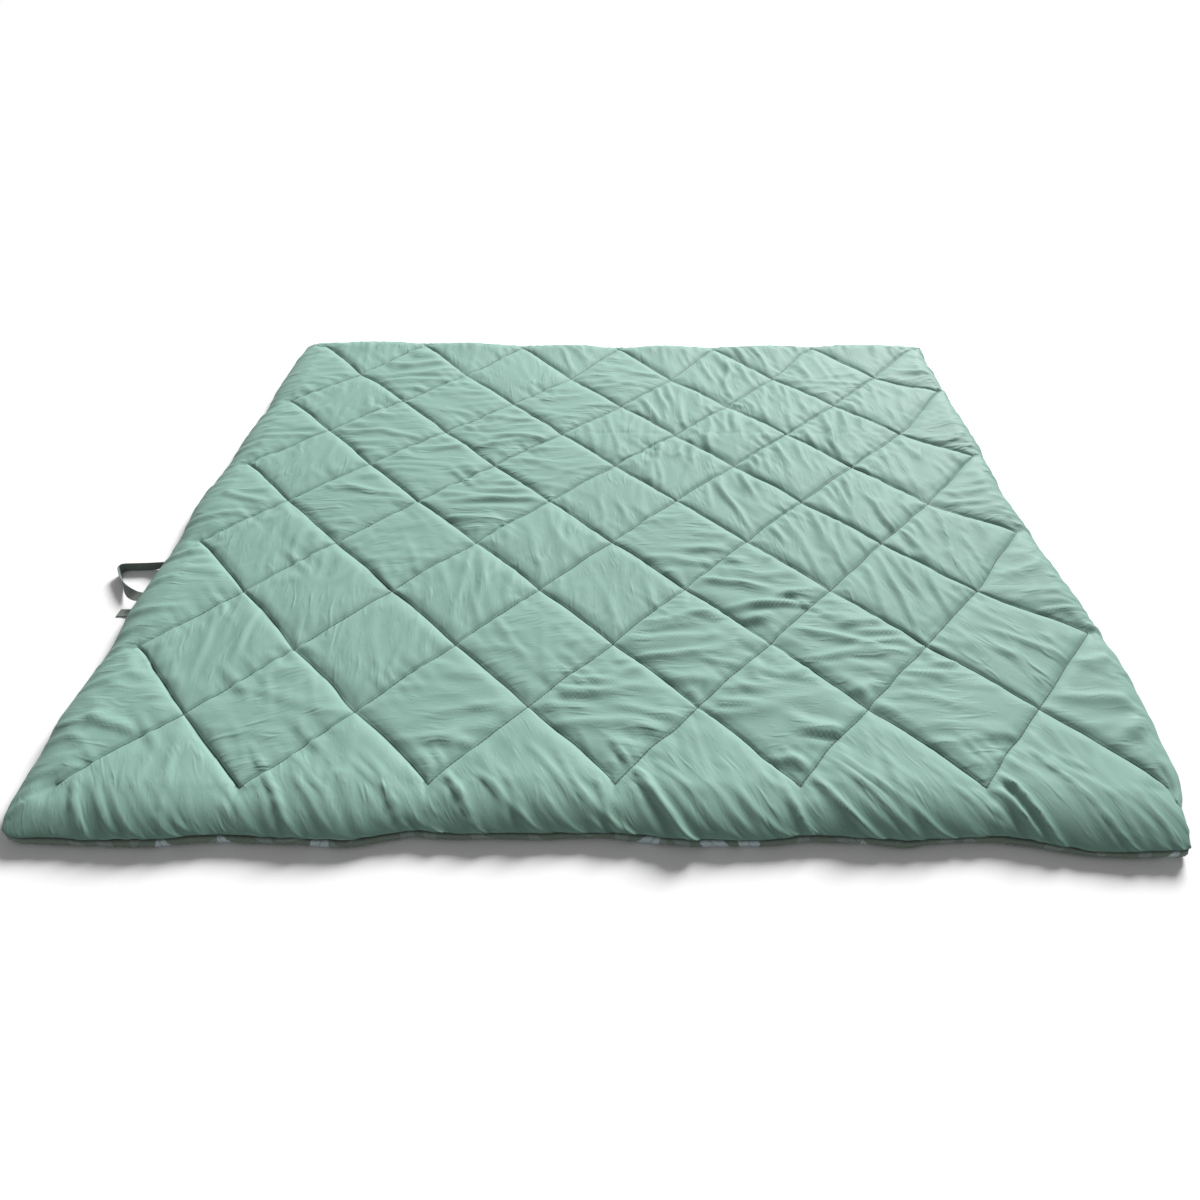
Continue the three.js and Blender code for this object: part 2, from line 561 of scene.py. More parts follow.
@dataclass(frozen=True)
class Panel:
    """A panel of cloth cut from one grid whose threads run along the stitch lines."""

    name: str
    quilting: Quilting
    steps: int
    cut_x: float = 1.150
    cut_y: float = 1.000

    def cut(self) -> bpy.types.Object:
        """Makes the flat panel.

        Returns:
            The panel, flat at the origin, its edge cut straight through the grid's corners.
        """
        spacing = self.quilting.diamond / math.sqrt(2) / self.steps
        row = spacing / math.sqrt(2)
        half_x = round(self.cut_x / row) * row
        half_y = round(self.cut_y / row) * row
        count = 2 * math.ceil((half_x + half_y) / math.sqrt(2) / spacing)
        deselect_all()
        bpy.ops.mesh.primitive_grid_add(
            x_subdivisions=count, y_subdivisions=count, size=count * spacing, rotation=(0, 0, math.pi / 4)
        )
        panel = bpy.context.object
        panel.name = self.name
        bpy.ops.object.transform_apply(location=False, rotation=True, scale=False)
        bpy.ops.object.mode_set(mode="EDIT")
        for way in ((1, 0, 0), (-1, 0, 0), (0, 1, 0), (0, -1, 0)):
            bpy.ops.mesh.select_all(action="SELECT")
            edge = (half_x * way[0], half_y * way[1], 0)
            bpy.ops.mesh.bisect(plane_co=edge, plane_no=way, clear_outer=True, threshold=row / 20)
        bpy.ops.object.mode_set(mode="OBJECT")
        return panel


def from_edge(flat: np.ndarray) -> np.ndarray:
    """Measures how far places on a panel are from its cut edge.

    Args:
        flat: Places on the flat panel.

    Returns:
        Distances in metres.
    """
    return (np.abs(flat).max(0) - np.abs(flat)).min(1)


def at_edge(flat: np.ndarray) -> np.ndarray:
    """Finds the places on a panel's cut edge.

    Args:
        flat: Places on the flat panel.

    Returns:
        True for each place on the edge.
    """
    return (np.abs(flat) > np.abs(flat).max(0) - 1e-4).any(1)


# ---------------------------------------------------------------- folds


@dataclass(frozen=True)
class Crease:
    """One soft fold, a curved ridge that swells from a seam and fades along its length."""

    start: tuple[float, float]
    heading: float
    length: float
    height: float
    width: float
    bend: float

    def rise(self, flat: np.ndarray) -> np.ndarray:
        """How far the crease lifts each place.

        Args:
            flat: Places on the flat panel.

        Returns:
            Heights in metres, a little below 0 in the troughs beside the ridge.
        """
        x, y = (flat - self.start).T
        along = x * math.cos(self.heading) + y * math.sin(self.heading)
        across = y * math.cos(self.heading) - x * math.sin(self.heading) - self.bend * along * along
        share = along / self.length
        off = across / (self.width * (0.75 + 0.6 * np.clip(share, 0, 1)))
        off = off * (1 + 0.3 * np.tanh(2 * off))
        swell = smoothstep(-0.08, 0.20, share) * (1 - smoothstep(0.45, 1, share))
        return self.height * swell * (np.exp(-np.abs(off) ** 1.5) - 0.45 * np.exp(-((off / 2.0) ** 2)))


@dataclass(frozen=True)
class Folds:
    """The creases of the cover, cell by cell, and over the rolled edge."""

    quilting: Quilting
    rows: tuple[str, ...] = (  # from the front row of cells to the back row, each from the left
        "mlLLl", "UumLLd", "uUuLU", "umUlUU", "lLuUU", "ullUUU", "lLuUU", "ullUUU", "LslUm"
    )
    height: float = 0.0135
    pitch: float = 0.024
    rumple: float = 0.0030
    pucker: float = 0.0056
    level: float = 0.0
    upright: float = math.pi / 2 + 0.12
    slanted: float = 2.08
    edges: tuple[tuple[int, int, float, float, float], ...] = (  # axis, side, strength, lean, run-out
        (1, -1, 1.35, 0.100, 0.45), (0, 1, 0.6, -0.035, 0.85),
        (1, 1, 0.4, 0.02, 0.45), (0, -1, 0.7, -0.035, 0.85),
    )

    def style(self, centre: tuple[float, float]) -> tuple[Fold, float]:
        """Looks up a cell's folds.

        Args:
            centre: The cell's centre in diamonds.

        Returns:
            The kind of fold and how strong it is, from 0 to 1.
        """
        row = round((centre[1] + 2) * 2)
        if not 0 <= row < len(self.rows):
            return Fold.UPRIGHT, 0.9 if row > 0 else 0.45
        letters = self.rows[row]
        column = round(centre[0] + (len(letters) - 1) / 2)
        if not 0 <= column < len(letters):
            return Fold.LEVEL, 0.6 if centre[0] < 0 or centre[1] < 0 else 0.35
        letter = letters[column]
        return Fold(letter.lower()), 1.0 if letter.isupper() else 0.6

    def run(self, chance: random.Random, heading: float, strength: float,
            wide: float = 1.0) -> list[Crease]:
        """Makes a run of creases, side by side, for a cell at the origin.

        Args:
            chance: The source of their small differences.
            heading: The way that they run, in radians.
            strength: How high they are, from 0 to 1.
            wide: How wide they are, as a share of the usual.

        Returns:
            The creases.
        """
        half = self.quilting.diamond / 2
        way = (math.cos(heading), math.sin(heading))
        creases = []
        gather = chance.uniform(-0.5, 0.5) * half
        count = int(2 * half / self.pitch)
        for turn in range(count):
            offset = (turn + 0.5 + chance.uniform(-0.4, 0.4)) * self.pitch - half
            chord = (half - abs(offset)) * 0.94
            if chord < 0.03:
                continue
            side = chance.choice((-1, 1))
            near = math.exp(-(((offset - gather) / (0.6 * half)) ** 2))
            height = strength * self.height * (0.22 + 1.0 * chance.random() ** 1.5 * (0.35 + 0.65 * near))
            turned = heading + (0 if side > 0 else math.pi)
            creases.append(Crease(
                start=(-way[1] * offset - way[0] * chord * side, way[0] * offset - way[1] * chord * side),
                heading=turned + chance.uniform(-0.13, 0.13) - 0.9 * side * offset,
                length=chord * chance.uniform(0.9, 2.1),
                height=height,
                width=wide * chance.uniform(0.0078, 0.0120),
                bend=chance.uniform(-1.3, 1.3),
            ))
        return creases

    def creases_of(self, centre: tuple[float, float]) -> list[Crease]:
        """Makes the creases of one cell.

        Args:
            centre: The cell's centre in diamonds.

        Returns:
            The creases, for a cell at the origin.
        """
        chance = random.Random(int(1000 + 20 * centre[0] + 340 * centre[1]))
        kind, strength = self.style(centre)
        strength *= 0.85 + 0.2 * math.tanh(2 * centre[0])
        if kind is Fold.SMOOTH:
            return self.run(chance, self.upright, 0.3)
        if kind is Fold.LEVEL:
            return self.run(chance, self.level, 1.5 * strength, 1.2)
        if kind is Fold.UPRIGHT:
            return self.run(chance, self.upright, strength)
        if kind is Fold.SLANTED:
            return self.run(chance, self.slanted, strength)
        both = 0.7 * strength
        return self.run(chance, self.level, both) + self.run(chance, self.upright + 0.3, both)

    def heading(self, centre: tuple[float, float]) -> float:
        """Finds the way that a cell's folds run.

        Args:
            centre: The cell's centre in diamonds.

        Returns:
            The heading in radians.
        """
        if centre[1] < -2.2:
            return 2.05
        kind, _ = self.style(centre)
        return {Fold.LEVEL: self.level, Fold.SLANTED: self.slanted, Fold.MIXED: 0.3}.get(kind, 1.69)

    def headings(self, flat: np.ndarray) -> np.ndarray:
        """Finds the way that the folds run at each place.

        Args:
            flat: Places on the flat panel.

        Returns:
            The headings in radians.
        """
        cells = self.quilting.cells(flat)
        angles = np.zeros(len(flat))
        for centre in {tuple(c) for c in cells.tolist()}:
            angles[(cells == centre).all(1)] = self.heading(centre)
        return angles

    def rumples(self, flat: np.ndarray) -> np.ndarray:
        """Low, scattered ridges between the creases, drawn out along each cell's folds.

        Args:
            flat: Places on the flat panel.

        Returns:
            How far each place is pushed out, in metres.
        """
        angles = self.headings(flat)
        x, y = flat.T
        along = x * np.cos(angles) + y * np.sin(angles)
        across = y * np.cos(angles) - x * np.sin(angles)
        sway = 0.5 * soft_noise(along * 5, across * 5, 3.7)
        ridge = np.exp(-((soft_noise(along * 7 + sway, across * 24 + sway, 12.4) / 0.16) ** 2))
        patch = smoothstep(-0.15, 0.30, soft_noise(x / 0.17, y / 0.17, 5.9))
        return self.rumple * (ridge - 0.35) * patch * smoothstep(0.0, 0.16, self.quilting.fullness(flat))

    def in_cells(self, flat: np.ndarray) -> np.ndarray:
        """The folds inside the diamonds.

        Args:
            flat: Places on the flat panel.

        Returns:
            How far each place is pushed out, in metres.
        """
        q = self.quilting
        cells = q.cells(flat)
        push = np.zeros(len(flat))
        for centre in sorted({tuple(c) for c in cells.tolist()}):
            mine = (cells == centre).all(1)
            place = flat[mine] - np.array(centre) * q.diamond
            for crease in self.creases_of(centre):
                push[mine] += crease.rise(place)
        return push * smoothstep(0.0, 0.16, q.fullness(flat))

    def along_stitches(self, flat: np.ndarray) -> np.ndarray:
        """Small puckers across the stitch lines, most of them on the rising ones.

        Args:
            flat: Places on the flat panel.

        Returns:
            How far each place is pushed out, in metres.
        """
        x, y = flat.T
        falling, rising = self.quilting.to_lines(flat)
        push = np.zeros(len(flat))
        for distance, along, share, seed in ((rising, x + y, 1.0, 1.7), (falling, x - y, 0.45, 6.1)):
            line = np.round((x - y if seed < 2 else x + y) / self.quilting.diamond - 0.5)
            pucker = soft_noise(along / 0.024, line * 3.1, seed)
            where = np.clip(0.45 + soft_noise(along / 0.11, line * 2.3, seed + 2) * 1.2, 0, 1)
            near = np.abs(distance) / 0.019
            push += share * pucker * where * near * np.exp(1 - near)
        return self.pucker * push

    def over_edge(self, flat: np.ndarray) -> np.ndarray:
        """Gathers that run over the rolled edge and down to the seam.

        Args:
            flat: Places on the flat panel.

        Returns:
            How far each place is pushed out, in metres.
        """
        q = self.quilting
        push = np.zeros(len(flat))
        over = flat - q.inner(flat)
        depth = np.abs(flat).max(0) - (q.half_x, q.half_y)
        shares = np.abs(over) / depth
        for side, (axis, sign, strength, lean, run_out) in enumerate(self.edges):
            other = 1 - axis
            mine = (shares[:, axis] >= shares[:, other] - 0.02)
            mine &= sign * flat[:, axis] > (q.half_x, q.half_y)[axis] - 0.15
            place = flat[mine]
            along = place[:, other]
            out = (sign * place[:, axis] - (q.half_x, q.half_y)[axis]) / depth[axis]
            chance = random.Random(70 + side)
            spot = -1.12
            total = np.zeros(len(place))
            while spot < 1.12:
                spot += chance.uniform(0.017, 0.036)
                tip = math.cos(2 * math.pi * spot / q.diamond + (math.pi if axis == 0 else 0)) * 0.5 + 0.5
                height = strength * (0.0025 + 0.0125 * chance.random() ** 1.5 * (0.45 + 0.55 * tip))
                if side == 0:
                    height *= 0.65 + 0.35 * float(smoothstep(-1.0, -0.2, np.array(spot)))
                begin = chance.uniform(-1.25, 0.1)
                drift = lean * chance.uniform(0.5, 1.4) + 0.02 * chance.uniform(-1, 1)
                width = chance.uniform(0.0058, 0.0100)
                share = np.clip((out - begin) / (1 - begin), 0, 1)
                off = (along - spot - drift * (1 - begin) * share) / (width * (0.7 + 0.5 * share))
                swell = smoothstep(0, 0.35, share) * (1 - run_out * smoothstep(0.6, 1, share))
                total += height * swell * (np.exp(-np.abs(off) ** 1.35) - 0.42 * np.exp(-((off / 2.1) ** 2)))
            push[mine] = total * smoothstep(0.0, 0.16, q.fullness(place) + np.clip(out, 0, 1))
        from_corner = np.hypot(flat[:, 0] - q.half_x - 0.02, flat[:, 1] + q.half_y - 0.02)
        return push * smoothstep(0.02, 0.16, from_corner)


# ---------------------------------------------------------------- the filled cover


@dataclass(frozen=True)
class CoverCloth:
    """Satin-smooth brushed microfibre in sage green."""

    # lit is the cloth in the light; deep is the same cloth in painted shade, and also the colour of its
    # random blotches.
    lit: tuple[float, float, float] = (0.220, 0.362, 0.310)
    deep: tuple[float, float, float] = (0.165, 0.288, 0.238)
    # seam is painted shade: the dark of the stitch channels and of the groove at the edge seam.
    seam: tuple[float, float, float] = (0.060, 0.108, 0.086)
    wrinkles: tuple[tuple[float, float, float, float], ...] = (  # along, across, depth, strength
        (15, 62, 0.0045, 0.65), (36, 150, 0.0014, 0.5),
    )
    blotch_scale: float = 6
    nap_scale: float = 420

    def wrinkled(self, tree: bpy.types.NodeTree, place: bpy.types.NodeSocket) -> bpy.types.NodeSocket:
        """Adds the fine wrinkles, drawn out along the folds and gathered in patches.

        Args:
            tree: The material's nodes.
            place: The places on the piece.

        Returns:
            The wrinkled normal.
        """
        folds = add_node(tree, "UVMap", uv_map="folds").outputs["UV"]
        normal = None
        for along, across, depth, strength in self.wrinkles:
            drawn = add_node(tree, "Mapping", {"Vector": folds, "Scale": (along, across, 1)})
            ridges = add_node(
                tree, "TexNoise",
                {"Vector": drawn.outputs["Vector"], "Scale": 1, "Detail": 2, "Roughness": 0.5,
                 "Distortion": 0.6},
                noise_type="RIDGED_MULTIFRACTAL",
            ).outputs["Fac"]
            patch = add_range(tree, add_noise(tree, place, along * 0.9), (0.38, 0.66), (0, 1))
            normal = add_bump(tree, add_math(tree, "MULTIPLY", ridges, patch), depth, strength, normal)
        return normal

    def make(self) -> bpy.types.Material:
        """Builds the material.

        Returns:
            The cover's material.
        """
        material, tree, shader = new_material("cover_cloth")
        place = add_node(tree, "TexCoord").outputs["Object"]
        # Painted shade: the stored attribute mixes the cloth from lit towards deep. It is darker in hollows,
        # creases and under the rolled edge, and a little lighter on crests; the noise adds random blotches.
        painted_shade = add_node(tree, "Attribute", attribute_name="painted_shade").outputs["Fac"]
        tone = add_math(tree, "MULTIPLY_ADD", add_noise(tree, place, self.blotch_scale, 4), 0.25, painted_shade)
        cloth = add_mix(tree, tone, (*self.lit, 1), (*self.deep, 1))
        # Painted shade: the cloth darkens to the seam colour along the stitch channels and at the edge seam.
        sewn = add_node(tree, "Attribute", attribute_name="sewn").outputs["Fac"]
        line = add_range(tree, sewn, (0.35, 0.95), (0, 1), "SMOOTHSTEP")
        nap = add_noise(tree, place, self.nap_scale, 2)
        normal = add_bump(tree, nap, 0.0004, 0.35, self.wrinkled(tree, place))
        tree.links.new(add_mix(tree, line, cloth, (*self.seam, 1)), shader.inputs["Base Color"])
        tree.links.new(add_range(tree, nap, (0, 1), (0.56, 0.70)), shader.inputs["Roughness"])
        tree.links.new(normal, shader.inputs["Normal"])
        shader.inputs["Specular IOR Level"].default_value = 0.14
        shader.inputs["Sheen Weight"].default_value = 0.06
        shader.inputs["Sheen Roughness"].default_value = 0.4
        shader.inputs["Sheen Tint"].default_value = (0.80, 0.95, 0.90, 1)
        return material


@dataclass
class Cover:
    """The cover and its filling, one padded piece with a crown in every cell."""

    outline: Outline
    folds: Folds
    steps: int = 36
    channel_z: float = 0.043
    crown_z: float = 0.052
    edge_z: float = 0.060
    puff: float = 0.12
    pinch: float = 0.0045
    pressure: float = 1.8
    frames: int = 12
    cap: float = 0.0035
    uneven: Ripple = Ripple(0.004, 0.25, 0.7)
    packing_crease: tuple[float, float] = (0.0016, 0.0075)  # depth, half its width
    # hollow_depth is how deep a hollow is when its painted shade is full.
    hollow_depth: float = 0.004
    seam_shade: float = 0.012
    floor_z: float = 0.012
    floor_share: float = 0.975
    lines: list[np.ndarray] = field(default_factory=list)

    def lay(self, flat: np.ndarray) -> tuple[np.ndarray, np.ndarray]:
        """Gives the panel its first soft shape.

        Args:
            flat: Places on the flat panel.

        Returns:
            The places in space, and each place's share of the way over the rolled edge.
        """
        o = self.outline
        inner, way, size, share = o.reach(flat)
        turn = share ** 1.2 * np.pi / 2
        plan = inner + way * (size * np.sin(turn))[:, None] + self.pinched(flat) - flat
        full = o.quilting.fullness(flat)
        cell = self.channel_z + (self.crown_z - self.channel_z) * full ** self.puff
        cell += self.uneven.at(*flat.T) * full
        edge = self.edge_z - 0.008 * (1 - o.quilting.fullness(inner) ** 0.5)
        inward = (np.abs(flat) - (o.quilting.half_x, o.quilting.half_y)).max(1)
        over = np.where(inward < 0, inward / 0.11, share)
        rise = smoothstep(-0.9, 0.5, over) * np.maximum(full, 1e-6) ** (0.3 * (1 - smoothstep(0, 0.4, share)))
        crown = cell + (edge - cell) * rise
        seam = o.seam_height(flat)
        z = seam + (crown - seam) * (0.35 * np.cos(turn) + 0.65 * np.cos(turn) ** 2)
        return np.column_stack([o.wandered(flat, plan), z]), share

    def pinched(self, flat: np.ndarray) -> np.ndarray:
        """Draws the cloth beside each stitch line in towards it, so that the channel is narrow.

        Args:
            flat: Places on the flat panel.

        Returns:
            The moved places.
        """
        q = self.outline.quilting
        falling, rising = q.to_lines(flat)
        inside = ((np.abs(flat) - (q.half_x, q.half_y)) < 0).all(1)
        moved = flat.copy()
        for distance, way in ((falling, (1, 1)), (rising, (1, -1))):
            near = np.abs(distance) / 0.009
            shift = -np.sign(distance) * self.pinch * near * np.exp(1 - near) * inside
            moved += shift[:, None] * np.array(way) / math.sqrt(2)
        return moved

    def build(self) -> bpy.types.Object:
        """Makes the piece.

        Returns:
            The finished cover.
        """
        o = self.outline
        cover = Panel("cover", o.quilting, self.steps).cut()
        flat = read_points(cover)[:, :2].copy()
        sewn = o.quilting.on_stitches(flat)
        points, share = self.lay(flat)
        write_points(cover, points)
        puckers = self.folds.along_stitches(flat) * (1 - smoothstep(0, 0.25, share))
        puckers[sewn] = 0
        points += read_normals(cover) * puckers[:, None]
        write_points(cover, points)
        self.settle(cover, sewn | at_edge(flat), points, share)
        creases = self.folds.in_cells(flat) * (1 - smoothstep(0, 0.25, share)) + self.folds.over_edge(flat)
        creases += self.folds.rumples(flat) * (1 - smoothstep(0.1, 0.7, share))
        depth, half = self.packing_crease
        creases -= depth * np.clip(1 - np.abs(flat[:, 1] - o.quilting.diamond) / half, 0, 1)
        creases[sewn] = 0
        write_points(cover, read_points(cover) + read_normals(cover) * creases[:, None])
        write_points(cover, softened(cover, ~(sewn | at_edge(flat)), 0.38))
        self.paint_hollow_shade(cover, sewn, flat, share)
        self.map_folds(cover, flat)
        self.lines = self.stitch_lines(cover, flat)
        self.close(cover)
        smooth_faces(cover)
        cover.data.materials.append(CoverCloth().make())
        return cover

    def stitch_lines(self, cover: bpy.types.Object, flat: np.ndarray) -> list[np.ndarray]:
        """Finds the runs of sewn places, one for each stitch line.

        Args:
            cover: The finished mesh.
            flat: Its places on the flat panel.

        Returns:
            One list of places for each line.
        """
        q = self.outline.quilting
        points = read_points(cover)
        sewn = q.on_stitches(flat)
        runs = []
        for distance, line, along in (
            (q.to_lines(flat)[0], flat.sum(1), flat[:, 0] - flat[:, 1]),
            (q.to_lines(flat)[1], flat[:, 0] - flat[:, 1], flat.sum(1)),
        ):
            number = np.round(line / q.diamond - 0.5).astype(int)
            on_line = sewn & (np.abs(distance) < 1e-4)
            for k in np.unique(number[on_line]):
                mine = np.nonzero(on_line & (number == k))[0]
                if len(mine) > 8:
                    runs.append(points[mine[np.argsort(along[mine])]])
        return runs

    def close(self, cover: bpy.types.Object) -> None:
        """Closes the filling below, inside the backing.

        Args:
            cover: The open cover.
        """
        before = len(cover.data.vertices)
        make_active(cover)
        bpy.ops.object.mode_set(mode="EDIT")
        bpy.ops.mesh.select_mode(type="EDGE")
        bpy.ops.mesh.select_all(action="DESELECT")
        bpy.ops.mesh.select_non_manifold()
        bpy.ops.mesh.extrude_region_move(TRANSFORM_OT_translate={"value": (0, 0, 0)})
        bpy.ops.mesh.edge_face_add()
        bpy.ops.object.mode_set(mode="OBJECT")
        points = read_points(cover)
        points[before:, :2] *= self.floor_share
        points[before:, 2] = self.floor_z
        write_points(cover, points)
        bpy.ops.object.mode_set(mode="EDIT")
        bpy.ops.mesh.select_all(action="SELECT")
        bpy.ops.mesh.normals_make_consistent(inside=False)
        bpy.ops.object.mode_set(mode="OBJECT")

    def settle(self, cover: bpy.types.Object, held: np.ndarray, start: np.ndarray, share: np.ndarray) -> None:
        """Blows the cells up against their stitches by cloth simulation.

        Args:
            cover: The laid cover.
            held: Which vertices are sewn down.
            start: The places before the simulation.
            share: Each place's share of the way over the rolled edge.
        """
        group = cover.vertex_groups.new(name="held")
        group.add([int(i) for i in np.nonzero(held)[0]], 1.0, "REPLACE")
        modifier = cover.modifiers.new("settle", "CLOTH")
        cloth = modifier.settings
        cloth.quality = 4
        cloth.mass = 0.001
        cloth.tension_stiffness = 8
        cloth.compression_stiffness = 8
        cloth.shear_stiffness = 3
        cloth.bending_stiffness = 0.01
        cloth.tension_damping = 2
        cloth.compression_damping = 2
        cloth.air_damping = 2
        cloth.use_pressure = True
        cloth.uniform_pressure_force = self.pressure
        cloth.vertex_group_mass = "held"
        cloth.effector_weights.gravity = 0
        modifier.point_cache.frame_end = self.frames
        scene = bpy.context.scene
        for step in range(1, self.frames + 1):
            scene.frame_set(step)
        make_active(cover)
        bpy.ops.object.modifier_apply(modifier=modifier.name)
        scene.frame_set(1)
        moved = read_points(cover) - start
        length = np.linalg.norm(moved, axis=1)
        LOG.info("moved: mean %.1f mm, most %.1f mm", 1000 * length.mean(), 1000 * length.max())
        moved *= (np.minimum(1, self.cap / np.maximum(length, 1e-9)) * (1 - 0.6 * share))[:, None]
        write_points(cover, start + moved)

    def paint_hollow_shade(self, cover: bpy.types.Object, sewn: np.ndarray, flat: np.ndarray,
                     share: np.ndarray) -> None:
        """Stores painted shade, darker in hollows and creases and under the rolled edge, and which places are
        sewn, for painted shade on the stitch lines and at the seam.

        Args:
            cover: The finished mesh.
            sewn: Which of its places are sewn down.
            flat: Its places on the flat panel.
            share: Each place's share of the way over the rolled edge.
        """
        smooth = softened(cover, np.ones(len(flat), bool), 0.5, 10)
        # Painted shade in hollows: places below the smoothed surface come out darker, crests a little
        # lighter.
        depth = ((smooth - read_points(cover)) * read_normals(cover)).sum(1)
        LOG.info("hollows: %.2f to %.2f mm", *(1000 * np.percentile(depth, (2, 98))))
        # Painted shade under the rolled edge, darker towards the seam.
        under = 1.2 * smoothstep(0.15, 1, share)
        store_values(cover, "painted_shade", np.clip(depth / self.hollow_depth, -0.25, 1) + under)
        # Painted shade along the stitch lines and within seam_shade of the edge seam.
        store_values(cover, "sewn", np.maximum(sewn, 1 - from_edge(flat) / self.seam_shade))

    def map_folds(self, cover: bpy.types.Object, flat: np.ndarray) -> None:
        """Lays a map over the cover whose first axis runs along each cell's folds.

        Args:
            cover: The finished mesh.
            flat: Its places on the flat panel.
        """
        mesh = cover.data
        corners = corner_vertices(mesh)
        totals = np.empty(len(mesh.polygons), np.int32)
        mesh.polygons.foreach_get("loop_total", totals)
        face_of = np.repeat(np.arange(len(totals)), totals)
        centres = np.zeros((len(totals), 2))
        np.add.at(centres, face_of, flat[corners])
        angles = self.folds.headings(centres / totals[:, None])[face_of]
        cosine, sine = np.cos(angles), np.sin(angles)
        x, y = flat[corners].T
        lay_map(mesh, "folds", np.stack([x * cosine + y * sine, y * cosine - x * sine], 1))


# ---------------------------------------------------------------- the printed backing


@dataclass(frozen=True)
class BackingCloth:
    """Grey-green cotton with a loose print of pale leaves."""

    ground: tuple[float, float, float] = (0.125, 0.175, 0.138)
    pale: tuple[float, float, float] = (0.420, 0.520, 0.540)
    dim: tuple[float, float, float] = (0.190, 0.250, 0.225)
    # seam is painted shadow along the backing's top edge, under the cover's seam.
    seam: tuple[float, float, float] = (0.018, 0.028, 0.022)
    weave_scale: float = 600
    crease_scale: float = 38

    def leaves(self, tree: bpy.types.NodeTree, cut: bpy.types.NodeSocket, scale: float, length: float,
               breadth: float, shift: float) -> bpy.types.NodeSocket:
        """Scatters pointed leaves, one to a Voronoi cell, each turned its own way.

        Args:
            tree: The material's nodes.
            cut: The places on the cut cloth.
            scale: Leaves to the metre.
            length: Half a leaf's length, in cells.
            breadth: Half its breadth, in cells.
            shift: Moves the whole scatter.

        Returns:
            A socket that is 1 on a leaf and 0 off it.
        """
        calc = partial(add_math, tree)
        sized = add_node(
            tree, "Mapping", {"Vector": cut, "Scale": (scale, scale, 1), "Location": (shift, shift * 0.7, 0)}
        ).outputs["Vector"]
        cells = add_node(
            tree, "TexVoronoi", {"Vector": sized, "Scale": 1, "Randomness": 0.75}, voronoi_dimensions="2D"
        )
        away = add_node(tree, "VectorMath", {0: sized, 1: cells.outputs["Position"]}, operation="SUBTRACT")
        chance = add_node(tree, "SeparateColor", {0: cells.outputs["Color"]}).outputs
        turned = add_node(
            tree, "VectorRotate", {"Vector": away.outputs[0], "Angle": calc("MULTIPLY", chance[0], math.tau)},
            rotation_type="Z_AXIS",
        )
        split = add_node(tree, "SeparateXYZ", {0: turned.outputs[0]}).outputs
        bowed = calc("MULTIPLY_ADD", calc("POWER", calc("ABSOLUTE", split["X"]), 2.0), 0.5, split["Y"])
        along = calc("POWER", calc("ABSOLUTE", calc("DIVIDE", split["X"], length)), 2.0)
        across = calc("ABSOLUTE", calc("DIVIDE", bowed, breadth))
        soft = calc("MULTIPLY", calc("SUBTRACT", 1.0, calc("ADD", along, across)), 9.0)
        here = calc("GREATER_THAN", chance[1], 0.12)
        leaf = calc("MULTIPLY", calc("MINIMUM", calc("MAXIMUM", soft, 0.0), 1.0), here)
        rib = calc("MINIMUM", calc("MULTIPLY", calc("ABSOLUTE", bowed), 45.0), 1.0)
        return calc("MULTIPLY", leaf, calc("MULTIPLY_ADD", rib, 0.6, 0.4))

    def make(self) -> bpy.types.Material:
        """Builds the material.

        Returns:
            The backing's material.
        """
        material, tree, shader = new_material("backing_cloth")
        cut = add_node(tree, "UVMap", uv_map="cut").outputs["UV"]
        colour = (*self.ground, 1)
        for tone, size in ((self.dim, (15, 0.52, 0.20, 3.3)), (self.pale, (9, 0.46, 0.17, 0.0))):
            colour = add_mix(tree, self.leaves(tree, cut, *size), colour, (*tone, 1))
        # Painted shadow: the backing darkens to the seam colour in the last few millimetres below the seam.
        seam_shadow = add_node(tree, "Attribute", attribute_name="seam_shadow").outputs["Fac"]
        colour = add_mix(tree, add_range(tree, seam_shadow, (0.75, 1), (0, 1)), colour, (*self.seam, 1))
        weave = add_noise(tree, cut, self.weave_scale)
        creases = add_noise(tree, cut, self.crease_scale, 3)
        normal = add_bump(tree, weave, 0.0004, 0.4, add_bump(tree, creases, 0.004, 0.5))
        tree.links.new(colour, shader.inputs["Base Color"])
        tree.links.new(add_range(tree, weave, (0, 1), (0.62, 0.80)), shader.inputs["Roughness"])
        tree.links.new(normal, shader.inputs["Normal"])
        shader.inputs["Sheen Weight"].default_value = 0.15
        return material


